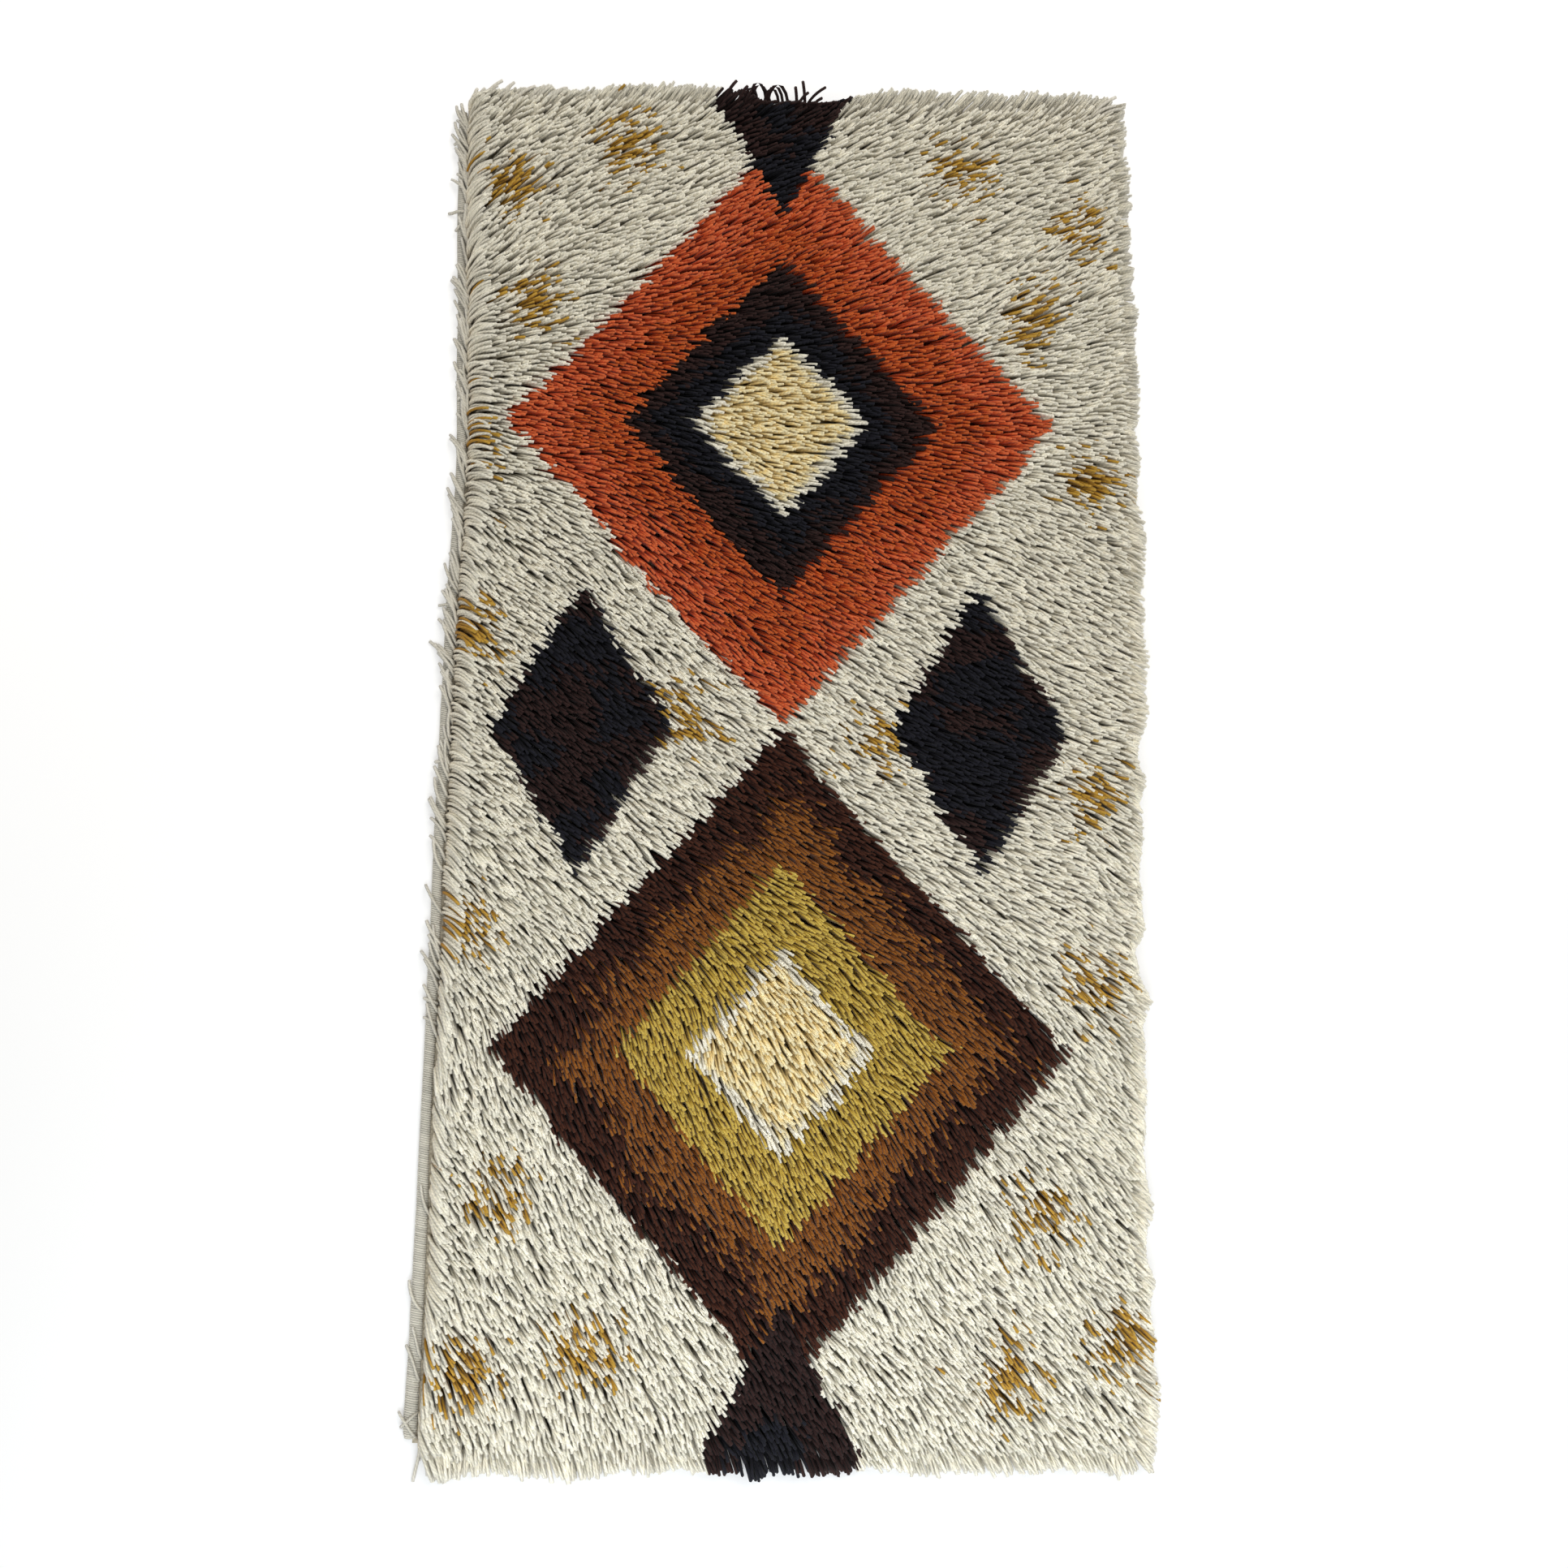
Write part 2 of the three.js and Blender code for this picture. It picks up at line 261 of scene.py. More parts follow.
def placeGroup(material, group, values):
    node = addNode(material.node_tree, "ShaderNodeGroup", (-500, 0), node_tree=group)
    for name, value in values.items():
        node.inputs[name].default_value = value
    return node


def linkGroup(material, shader, node, strength, distance):
    tree = material.node_tree
    bump = addNode(tree, "ShaderNodeBump", (-250, -250))
    bump.inputs["Strength"].default_value = strength
    bump.inputs["Distance"].default_value = distance
    tree.links.new(node.outputs["Colour"], shader.inputs["Base Color"])
    tree.links.new(node.outputs["Height"], bump.inputs["Height"])
    tree.links.new(bump.outputs[0], shader.inputs["Normal"])


def yarnMaterial(name, yarn):
    material, shader = newMaterial(name, yarn.get("roughness", 0.85), yarn.get("sheen", 0.1))
    shader.subsurface_method = "BURLEY"
    shader.inputs["Subsurface Weight"].default_value = yarn.get("throughLight", 0.0)
    shader.inputs["Subsurface Radius"].default_value = (1.0, 1.0, 1.0)
    shader.inputs["Subsurface Scale"].default_value = 0.004
    node = placeGroup(material, woolYarn, {
        "Root Colour": linear(yarn.get("rootColour", yarn["colour"]), yarn.get("root", 1.0)),
        "Yarn Colour": linear(yarn["colour"]),
        "Tip Colour": linear(yarn["tip"]),
        "Ply Depth": yarn.get("plyDepth", 0.16),
        "Fibre Depth": 0.2,
    })
    linkGroup(material, shader, node, 0.5, 0.0004)
    return material


def meshObject(name, points, quads, tris, material):
    # points in millimetres; quads and tris are rows of point numbers, facing out
    data = bpy.data.meshes.new(name)
    data.vertices.add(len(points))
    data.vertices.foreach_set("co", (np.asarray(points, float) * mm).astype(np.float32).ravel())
    corners = np.concatenate([np.ravel(quads), np.ravel(tris)]).astype(np.int32)
    starts = np.concatenate([np.arange(len(quads)) * 4, len(quads) * 4 + np.arange(len(tris)) * 3])
    data.loops.add(len(corners))
    data.loops.foreach_set("vertex_index", corners)
    data.polygons.add(len(starts))
    data.polygons.foreach_set("loop_start", starts.astype(np.int32))
    data.update(calc_edges=True)
    data.shade_smooth()
    piece = bpy.data.objects.new(name, data)
    scene.collection.objects.link(piece)
    data.materials.append(material)
    return piece


def pointValues(piece, name, values):
    field = piece.data.attributes.new(name, "FLOAT", "POINT")
    field.data.foreach_set("value", np.asarray(values, np.float32).ravel())


def cornerMap(piece, name, values):
    layer = piece.data.uv_layers.new(name=name, do_init=False)
    layer.uv.foreach_set("vector", np.asarray(values, np.float32).ravel())


# How the pile lies: the way it leans at five places across it, in degrees from +X.
# A measuring program printed these from the photo, apart from the first row, which is given separately
leanAcross = (-320, -160, 0, 160, 320)
leanRows = [
    {"y": -722, "lean": (-84, -80, -66, -62, -70)},
    {"y": -700, "lean": (-76, -77, -63, -56, -62)},
    {"y": -660, "lean": (-61, -68, -55, -53, -54)},
    {"y": -600, "lean": (-50, -54, -50, -53, -52)},
    {"y": -500, "lean": (-50, -60, -57, -53, -52)},
    {"y": -400, "lean": (-60, -58, -66, -52, -54)},
    {"y": -300, "lean": (-68, -72, -58, -49, -48)},
    {"y": -200, "lean": (-44, -43, -37, -35, -43)},
    {"y": -100, "lean": (-39, -42, -33, -24, -38)},
    {"y": 0, "lean": (-37, -40, -38, -26, -22)},
    {"y": 100, "lean": (-38, -42, -37, -32, -30)},
    {"y": 200, "lean": (-46, -40, -31, -38, -34)},
    {"y": 300, "lean": (-15, -28, -15, -18, -21)},
    {"y": 380, "lean": (-10, -27, -14, -5, -3)},
    {"y": 450, "lean": (16, -6, 7, 12, 16)},
    {"y": 520, "lean": (31, 13, 18, 12, 22)},
    {"y": 580, "lean": (30, 4, 16, 10, 12)},
    {"y": 630, "lean": (24, 12, 8, 4, 20)},
    {"y": 670, "lean": (24, 17, 15, 18, 32)},
    {"y": 700, "lean": (50, 46, 52, 49, 52)},
]

# How far the pile reaches past the cloth's right side, from the near end to the far end,
# as a measuring program printed it from the photo
overRight = {
    "start": -700,
    "step": 25,
    "by": (19, 24, 28, 23, 23, 18, 24, 16, 16, 22, 18, 15, 17, 19, 21, 20, 19, 30, 11,
           12, 22, 19, 18, 22, 23, 20, 30, 20, 26, 30, 29, 32, 31, 31, 30, 30, 34, 33,
           24, 28, 29, 28, 30, 31, 31, 31, 32, 34, 30, 31, 27, 28, 31, 32, 26, 28, 29),
}
# How far it reaches past the near end and the far end, from the left to the right,
# from the same program
overEnds = {
    "start": -350,
    "step": 25,
    "near": (34, 38, 30, 32, 33, 36, 37, 33, 26, 31, 24, 30, 27, 35, 29,
             33, 32, 27, 26, 30, 33, 32, 29, 31, 28, 27, 32, 34, 31, 18),
    "far": (-6, 9, 12, 15, 13, 11, 19, 24, 27, 28, 23, 21, 20, 1, 1,
            1, 2, 12, 18, 25, 24, 24, 27, 23, 19, 28, 22, 26, 20, 10),
}

# How far the first column of knots is from the cloth's left side, and how far its yarn turns on its
# way up, in degrees
firstKnots = [
    {"y": -700, "in": 8.6, "combed": -18},
    {"y": -430, "in": 5.2, "combed": -14},
    {"y": -220, "in": 3.7, "combed": 40},
    {"y": -40, "in": 2.8, "combed": 62},
    {"y": 700, "in": 2.4, "combed": 62},
]
# How wide the whipped edge is
cordWidths = [
    {"y": -700, "wide": 13.6},
    {"y": -560, "wide": 12.6},
    {"y": -430, "wide": 10.8},
    {"y": 700, "wide": 10.0},
]
cordReach = 9.5  # from the cloth's side to the outside of the cord

pile = {
    "seed": 11,
    "pitch": 5.0,  # between neighbouring ends of yarn
    "firstPitch": 3.6,  # the same along the left edge
    "rimPitch": 3.6,  # the same along the other three sides
    "jitter": 1.35,
    "yarnWidth": 3.2,
    "shortest": 38.5,
    "longest": 43.5,
    "rise": 64.0,  # how steeply yarn leaves its knot, in degrees
    "lie": 17.0,  # how steeply its tip lies
    "reach": 30.0,  # about how far a tip lies from its knot
    "lockSize": 19.0,  # tips gather into locks about this far apart
    "lockPull": 0.08,
    "nearLie": 6.0,  # how much more steeply tips lie by the near end
    "paintedRimShade": 0.2,  # how much darker the rim is by the far end, as painted shade
    "steps": 20,  # along each end of yarn while it is laid
}
# How uneven the pile's outline is, on its right side, by its near end and by its far end
unevenRim = {
    "tips": np.array([[0.6], [2.8], [0.4]]),  # how far single tips stay short of it
    "notchSize": 20.0,
    "notchDepth": 4.5,
    "rightInset": 3.0,  # makes up for the outermost tips, which alone show
    "lumpSize": 15.0,
    "nearLump": 2.2,
    "farLump": 1.6,
}
# Tubes of yarn: where along them their rings are, how wide these are, and how much darker their sides away
# from the top are, as painted shade of the yarn around them
inPile = {"at": (0.0, 0.45, 0.78, 1.0), "size": (0.85, 1.0, 1.0, 0.98), "sides": 3, "sideShade": 0.09}
byEdge = {
    "at": (0.0, 0.15, 0.3, 0.45, 0.65, 0.85, 1.0),
    "size": (0.85, 1, 1, 1, 1, 1, 0.95),
    "sides": 4,
    "sideShade": 0.3,
}


def leanAt(x, y):
    rows = [row["y"] for row in leanRows]
    leanColumns = zip(*[row["lean"] for row in leanRows])
    lean = np.stack([np.interp(y, rows, degrees) for degrees in leanColumns])
    place = np.interp(x, leanAcross, np.arange(len(leanAcross)))
    left = np.minimum(place.astype(int), len(leanAcross) - 2)
    each = np.arange(len(x))
    return np.radians(lean[left, each] + (lean[left + 1, each] - lean[left, each]) * (place - left))


def reachAt(table, name, place):
    values = table[name]
    return np.interp(place, table["start"] + table["step"] * np.arange(len(values)), values)


def layRoots(draw):
    # Where the ends of yarn leave the cloth: rows of knots, each row half a step from the last
    rows = []
    for k, y in enumerate(np.arange(clothNear + 3, clothFar - 2, pile["pitch"])):
        left, right = leftSide(y) + column(firstKnots, y, "in", "y"), rightSide(y) - 3
        count = int((right - left) / pile["pitch"])
        x = left + (right - left) * (np.arange(count) + 0.25 + 0.5 * (k % 2)) / count
        rows.append(np.stack([x, np.full(count, y)], 1))
    y = np.arange(clothNear + 4, clothFar - 2, pile["firstPitch"])
    knotX = leftSide(y) + column(firstKnots, y, "in", "y") + draw.uniform(-1, 2.5, len(y))
    rows.append(np.stack([knotX, y], 1))
    # Rows close to the other sides, so that the pile's rim is dense
    for inward in (3.0, 8.5):
        y = np.arange(clothNear + 4, clothFar - 2, pile["rimPitch"])
        rows.append(np.stack([rightSide(y) - inward, y], 1))
        for end, inner in ((clothFar, -inward), (clothNear, inward)):
            x = np.arange(leftSide(end) + 8, rightSide(end) - 4, pile["rimPitch"])
            rows.append(np.stack([x, np.full_like(x, end + inner)], 1))
    roots = np.concatenate(rows)
    roots += draw.uniform(-1, 1, roots.shape) * pile["jitter"]
    roots[:, 1] = np.clip(roots[:, 1], clothNear + 1.5, clothFar - 1.5)
    return roots


def gatherIntoLocks(tips, draw):
    # The lock that each tip belongs to, and the middles of the locks
    step = pile["lockSize"]
    grid = np.stack(np.meshgrid(np.arange(-420, 421, step), np.arange(-780, 781, step)), -1)
    middles = grid.reshape(-1, 2) + draw.uniform(-0.42, 0.42, (grid.size // 2, 2)) * step
    tree = KDTree(len(middles))
    for k, (x, y) in enumerate(middles):
        tree.insert((x, y, 0), k)
    tree.balance()
    return np.array([tree.find((x, y, 0))[1] for x, y in tips]), middles


def strandPaths(roots, draw):
    # Places along each cut end of yarn, from its knot to its tip
    count = len(roots)
    x, y = roots.T
    lean = leanAt(x, y)
    lock, middles = gatherIntoLocks(
        roots + pile["reach"] * np.stack([np.cos(lean), np.sin(lean)], 1), draw)
    lockTurn = draw.normal(0, 3, len(middles))
    lockLift = draw.normal(0, 1.3, len(middles))
    lockPull = pile["lockPull"] * draw.uniform(0.45, 1.25, len(middles))
    byLeft = np.clip(1 - (x - leftSide(y)) / 28, 0, 1)
    # Beside the left edge the near end's yarn is tangled and lies more along the edge
    tangled = np.clip(1 - (x - leftSide(y)) / 75, 0, 1) * smoothStep(-y, 380, 520)
    turn = lean + np.radians(
        lockTurn[lock] + 7 * softNoise(x, y, 70, 3) + 6 * softNoise(x, y, 24, 4)
        + tangled * (24 * softNoise(x, y, 26, 5) - 2) + draw.normal(0, 4.5, count))
    rise = np.radians(pile["rise"] + draw.normal(0, 4, count) + 34 * byLeft)
    combed = np.radians(column(firstKnots, y, "combed", "y"))
    lie = pile["lie"] + pile["nearLie"] * smoothStep(-y, 330, 600) + lockLift[lock]
    lie = np.radians(lie + draw.normal(0, 3, count) - 10 * byLeft)
    length = draw.uniform(pile["shortest"], pile["longest"], count)
    curl = np.radians(draw.normal(0, 7, count))
    fine = pile["steps"]
    places = np.zeros((count, fine + 1, 3))
    places[:, 0, :2] = roots
    places[:, 0, 2] = clothTop - 0.4
    for k in range(fine):
        share = (k + 0.5) / fine
        lift = rise + (lie - rise) * share ** 0.72
        way = turn + curl * share + combed * byLeft * (1 - share) ** 2
        step = np.stack([np.cos(lift) * np.cos(way), np.cos(lift) * np.sin(way), np.sin(lift)], 1)
        places[:, k + 1] = places[:, k] + step * (length / fine)[:, None]
    grip = np.linspace(0, 1, fine + 1) ** 1.6
    pull = (middles[lock] - places[:, -1, :2]) * lockPull[lock][:, None]
    places[:, :, :2] += pull[:, None, :] * grip[None, :, None]
    return places, turn


def fitOutline(paths, draw):
    # Tips end at the pile's own outline, and yarn with nothing below it hangs down
    bend = np.linspace(0, 1, paths.shape[1]) ** 2
    count = len(paths)
    root, tip = paths[:, 0].copy(), paths[:, -1].copy()
    uneven = abs(draw.normal(0, 1, (3, count))) * unevenRim["tips"]
    lumps = softNoise(tip[:, 0], tip[:, 1], unevenRim["lumpSize"], 71)
    # Notches in the right outline, the same for all ends of yarn at one place along it
    notches = unevenRim["notchDepth"] * softNoise(tip[:, 1], tip[:, 1] * 0, unevenRim["notchSize"], 72)
    rightReach = reachAt(overRight, "by", tip[:, 1]) - unevenRim["rightInset"]
    rightLimit = rightSide(tip[:, 1]) + rightReach - uneven[0] + notches
    nearLimit = clothNear - reachAt(overEnds, "near", tip[:, 0]) + uneven[1] + unevenRim["nearLump"] * lumps
    farLimit = clothFar + reachAt(overEnds, "far", tip[:, 0]) - uneven[2] + unevenRim["farLump"] * lumps
    outermost = draw.uniform(0.45, 1, count)
    byRight = root[:, 0] > rightSide(root[:, 1]) - 15
    shift = np.where(tip[:, 0] > rightLimit, rightLimit - tip[:, 0], 0)
    shift += np.where(byRight & (tip[:, 0] < rightLimit), (rightLimit - tip[:, 0]) * outermost, 0)
    paths[:, :, 0] += shift[:, None] * bend
    byNear, byFar = root[:, 1] < clothNear + 11, root[:, 1] > clothFar - 13
    shift = np.where(tip[:, 1] < nearLimit, nearLimit - tip[:, 1], 0)
    shift += np.where(byNear & (tip[:, 1] > nearLimit), (nearLimit - tip[:, 1]) * outermost, 0)
    shift += np.where(tip[:, 1] > farLimit, farLimit - tip[:, 1], 0)
    shift += np.where(byFar & (tip[:, 1] < farLimit), (farLimit - tip[:, 1]) * outermost, 0)
    paths[:, :, 1] += shift[:, None] * bend
    heavy = draw.uniform(0.35, 1.35, (count, 1))
    pastRight = np.clip(paths[:, :, 0] - rightSide(paths[:, :, 1]) - 9, 0, None)
    pastNear = np.clip(clothNear - paths[:, :, 1], 0, None)
    pastFar = np.clip(paths[:, :, 1] - clothFar, 0, None)
    paths[:, :, 2] -= heavy * (1.0 * pastRight + 0.8 * pastNear + 0.45 * pastFar)
    floorClear = pile["yarnWidth"] / 2 + 0.6
    outside = (pastRight + pastNear + pastFar) > 0
    paths[:, :, 2] = np.where(outside, np.maximum(paths[:, :, 2], floorClear), paths[:, :, 2])
    return paths


def strandObject(name, places, turn, tone, material, form, rimShade=0.0):
    # Tubes along the places, each closed at its root and rounded over at its tip
    share, sizes, sides = np.array(form["at"]), np.array(form["size"]), form["sides"]
    paths = places[:, np.round(share * (places.shape[1] - 1)).astype(int)]
    count, rings = paths.shape[:2]
    forward = np.gradient(paths, axis=1)
    forward /= np.linalg.norm(forward, axis=2, keepdims=True) + 1e-9
    across = np.stack([-np.sin(turn), np.cos(turn), np.zeros(count)], 1)[:, None, :]
    up = np.cross(forward, across)
    up /= np.linalg.norm(up, axis=2, keepdims=True) + 1e-9
    across = np.cross(up, forward)
    # A tube of few sides is as wide as its yarn on average
    radius = pile["yarnWidth"] * math.pi / (2 * sides * math.sin(math.pi / sides))
    radius = radius * (0.9 + 0.2 * tone[:, None]) * sizes[None, :]
    # One corner of each ring is on top, give or take a little
    first = 0.25 + 0.1 * ((np.arange(count)[:, None, None] * 0.382) % 1 - 0.5)
    angles = 2 * math.pi * (np.arange(sides)[None, None, :] / sides + first) * np.ones((1, rings, 1))
    wide, high = np.cos(angles)[..., None], np.sin(angles)[..., None]
    outward = wide * across[:, :, None, :] + high * up[:, :, None, :]
    skin = paths[:, :, None, :] + radius[:, :, None, None] * outward
    # Painted shade: each ring is darker away from its top corner, where neighbouring yarn would shade it
    shade = 1 - form["sideShade"] * (1 - high[..., 0])
    tips = paths[:, -1] + forward[:, -1] * pile["yarnWidth"] * 0.24
    each = rings * sides + 1
    points = np.concatenate([skin.reshape(count, -1, 3), tips[:, None, :]], 1).reshape(-1, 3)
    k = np.arange(sides)
    after = (k + 1) % sides
    ring = (np.arange(rings - 1) * sides)[:, None]
    quads = np.stack([ring + k, ring + after, ring + sides + after, ring + sides + k], -1).reshape(-1, 4)
    tipCaps = np.stack([(rings - 1) * sides + k, (rings - 1) * sides + after, np.full(sides, each - 1)], 1)
    rootCaps = np.array([(0, j + 1, j) for j in range(1, sides - 1)])
    caps = np.concatenate([tipCaps, rootCaps])
    first = (np.arange(count) * each)[:, None, None]
    piece = meshObject(name, points, (first + quads).reshape(-1, 4), (first + caps).reshape(-1, 3), material)
    pointShare = np.concatenate([np.repeat(share, sides), [1.0]])
    pointValues(piece, "along", np.tile(pointShare, count))
    # The tone attribute carries each end's random tone times this painted side shade
    shade = np.concatenate([shade.reshape(count, -1), np.ones((count, 1))], 1)
    # The rim's painted shade darkens the tone attribute too
    pointValues(piece, "tone", ((0.89 + 0.2 * tone) * (1 - rimShade))[:, None] * shade)
    quadTurn = np.tile(np.stack([k, k + 1, k + 1, k], 1) / sides, (rings - 1, 1))
    quadShare = np.stack([share[:-1], share[:-1], share[1:], share[1:]], 1).repeat(sides, 0)
    quadMap = np.stack([quadTurn, quadShare], -1)
    tipMap = np.stack([np.stack([k, k + 1, k + 0.5], 1) / sides, np.tile([0.98, 0.98, 1.0], (sides, 1))], -1)
    rootMap = np.tile([0.5, 0.0], (sides - 2, 3, 1))
    capMap = np.concatenate([tipMap, rootMap])
    corners = np.concatenate([np.tile(part.reshape(-1, 2), (count, 1)) for part in (quadMap, capMap)])
    cornerMap(piece, "yarnTurn", corners)
    toneAt = np.concatenate([np.repeat(tone, quadMap.size // 2), np.repeat(tone, capMap.size // 2)])
    bake = np.stack([0.02 + 0.95 * toneAt + 0.01 * corners[:, 0], 0.02 + 0.96 * corners[:, 1]], 1)
    cornerMap(piece, "OFBake", bake)
    return piece


# The dyed yarns: their body, tip and root colours as 0 to 255 in sRGB. The root colours are painted light and
# shade for the gaps deep in the pile, and the lighter tip colours painted highlight on the pile's top
yarns = {
    "cream": {"colour": (240, 233, 213), "tip": (244, 239, 222), "rootColour": (250, 238, 213),
              "sheen": 0.3, "throughLight": 0.5},
    "golden": {"colour": (188, 140, 46), "tip": (210, 166, 66), "rootColour": (190, 134, 30)},
    "wheat": {
        "colour": (255, 228, 160), "tip": (255, 242, 200), "rootColour": (255, 221, 138),
        "throughLight": 0.3},
    "olive": {"colour": (194, 160, 58), "tip": (222, 192, 90), "rootColour": (194, 154, 40)},
    "orange": {"colour": (190, 70, 18), "tip": (218, 104, 42), "rootColour": (198, 58, 8)},
    "rust": {"colour": (212, 84, 38), "tip": (234, 116, 64), "rootColour": (218, 70, 26)},
    "bronze": {"colour": (130, 72, 15), "tip": (156, 94, 28), "rootColour": (132, 66, 8)},
    "brown": {"colour": (57, 24, 13), "tip": (78, 40, 24), "rootColour": (58, 22, 9), "sheen": 0.03},
    "black": {"colour": (38, 18, 16), "tip": (55, 33, 30), "rootColour": (38, 14, 12), "sheen": 0.03},
    "blue": {"colour": (14, 13, 22), "tip": (28, 28, 38), "rootColour": (14, 12, 22), "sheen": 0.03},
}
yarnNames = list(yarns)

# Nested lozenges along the middle, from the outside in: where each band starts, and its yarns
lozenges = [
    {"y": 330, "bands": [
        (1.0, "rust", "orange"), (0.58, "black", "blue"),
        (0.32, "cream", "cream"), (0.27, "wheat", "wheat")]},
    {"y": -330, "bands": [
        (1.0, "brown", "bronze"), (0.58, "olive", "olive"),
        (0.32, "cream", "cream"), (0.27, "wheat", "wheat")]},
]
lozengeSize = {"halfWidth": 290, "halfLength": 328}
smallLozenges = [
    {"x": -206, "y": 0, "halfWidth": 92, "halfLength": 150},
    {"x": 206, "y": 0, "halfWidth": 92, "halfLength": 150},
    {"x": 0, "y": 712, "halfWidth": 78, "halfLength": 142},
    {"x": 0, "y": -712, "halfWidth": 78, "halfLength": 142},
]
flecks = [
    {"x": -286, "y": 604}, {"x": -168, "y": 652}, {"x": 196, "y": 622}, {"x": 318, "y": 560},
    {"x": -262, "y": 470}, {"x": 270, "y": 452}, {"x": -322, "y": 300}, {"x": 326, "y": 268},
    {"x": -318, "y": 92}, {"x": 322, "y": -64}, {"x": -100, "y": 12}, {"x": 104, "y": -14},
    {"x": -312, "y": -212}, {"x": 316, "y": -262}, {"x": -270, "y": -468}, {"x": 262, "y": -486},
    {"x": -186, "y": -616}, {"x": 222, "y": -642}, {"x": -300, "y": -640}, {"x": 330, "y": -610},
]


def chooseYarns(x, y, draw):
    # Which yarn each end is, from where its tip lies
    count = len(x)
    chance = draw.uniform(0, 1, count)
    chosen = np.zeros(count, int)
    near = np.zeros(count)
    for fleck in flecks:
        away = ((x - fleck["x"]) / 27) ** 2 + ((y - fleck["y"]) / 31) ** 2
        near = np.maximum(near, np.exp(-away))
    chosen[chance < 0.72 * near * (1 + 0.5 * softNoise(x, y, 14, 8))] = yarnNames.index("golden")
    for lozenge in lozenges:
        inner = abs(x) / lozengeSize["halfWidth"] + abs(y - lozenge["y"]) / lozengeSize["halfLength"]
        inner = inner + 0.012 * softNoise(x, y, 30, 9)
        limits = [band[0] for band in lozenge["bands"]] + [0.0]
        for k, (limit, outside, inside) in enumerate(lozenge["bands"]):
            here = (inner <= limit) & (inner > limits[k + 1] - 1e-9)
            share = (limit - inner) / (limit - limits[k + 1])
            share = share + 0.22 * softNoise(x, y, 46, 20 + k)
            mixed = smoothStep(share, 0.22, 0.72) > chance
            chosen[here] = np.where(mixed, yarnNames.index(inside), yarnNames.index(outside))[here]
    for small in smallLozenges:
        inner = abs(x - small["x"]) / small["halfWidth"] + abs(y - small["y"]) / small["halfLength"]
        mixed = smoothStep(0.9 * softNoise(x, y, 40, 33) + 0.3 - 0.4 * inner, -0.25, 0.35) > chance
        here = inner + 0.02 * softNoise(x, y, 30, 10) <= 1
        chosen[here] = np.where(mixed, yarnNames.index("blue"), yarnNames.index("black"))[here]
    return chosen


triangleCounts = []


def dressPiece(piece, node):
    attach(piece, "root")
    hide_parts(node)
    triangleCounts.append(len(piece.data.loops) - 2 * len(piece.data.polygons))


def paintedRimShade(places):
    # Painted shade: the pile's rim is darker than the rest, the more so by the far end, where its yarn hangs
    # in its own shade
    x, y = places[:, -1, 0], places[:, -1, 1]
    toRight = rightSide(y) + reachAt(overRight, "by", y) - x
    toFar = clothFar + reachAt(overEnds, "far", x) - y
    inside = np.minimum(toRight, toFar)
    return pile["paintedRimShade"] * smoothStep(y, 60, 560) * (1 - smoothStep(inside, 5, 12))


mostEnds = 6200  # ends of yarn in one piece


def buildPile():
    draw = np.random.default_rng(pile["seed"])
    roots = layRoots(draw)
    lean = leanAt(*roots.T)
    shown = roots + pile["reach"] * np.stack([np.cos(lean), np.sin(lean)], 1)
    chosen = chooseYarns(*shown.T, draw)
    tone = draw.uniform(0, 1, len(roots))
    places, turn = strandPaths(roots, draw)
    places = fitOutline(places, draw)
    # Painted shade on the pile's rim, darker by the far end
    rimShade = paintedRimShade(places)
    total = 0
    beside = roots[:, 0] < leftSide(roots[:, 1]) + 15
    for k, name in enumerate(yarnNames):
        mine = np.flatnonzero((chosen == k) & ~beside)
        mine = mine[np.argsort(-roots[mine, 1], kind="stable")]
        material = yarnMaterial(f"{name}_yarn", yarns[name])
        shares = np.array_split(mine, math.ceil(len(mine) / mostEnds))
        for number, share in enumerate(shares, 1):
            label = f"pile_{name}" + (f"_{number}" if len(shares) > 1 else "")
            piece = strandObject(
                label, places[share], turn[share], tone[share], material, inPile, rimShade[share])
            dressPiece(piece, "shag_pile")
        first = np.flatnonzero((chosen == k) & beside)
        if len(first):
            piece = strandObject(
                f"pile_{name}_by_edge", places[first], turn[first], tone[first], material, byEdge)
            dressPiece(piece, "shag_pile")
        total += len(mine) + len(first)
        report(f"{name} yarn, {len(mine)} ends in {len(shares)} pieces, {len(first)} by the edge")
    report(f"pile of {total} ends")


# Ends of the first knots that fell outward, over the left edge: how far apart they are
fallenEvery = [
    {"y": -700, "every": 60}, {"y": -500, "every": 45}, {"y": -430, "every": 24}, {"y": -160, "every": 17},
    {"y": -60, "every": 5.5}, {"y": 700, "every": 5.0},
]
fallen = {
    "seed": 23,
    "turn": 113.0,  # the way they lie, in degrees from +X
    "shortest": 33.0,
    "longest": 43.0,
    "strays": 0.1,
    "farGap": 26.0,  # none start nearer to the far end than this
    "shortestStray": 15.0,
    "longestStray": 27.0,
    # A greyer copy of the cream yarn, as painted shade, with no painted root light
    "yarn": {"colour": (232, 226, 210), "tip": (242, 237, 224), "sheen": 0.3},
}
# Ends that hang past the near end beside the left edge
hangingEnds = [
    {"x": -345, "side": -9, "out": 35}, {"x": -340, "side": -1, "out": 22}, {"x": -335, "side": -3, "out": 27},
    {"x": -347, "side": -2, "out": 16}, {"x": -342, "side": 2, "out": 30},
]

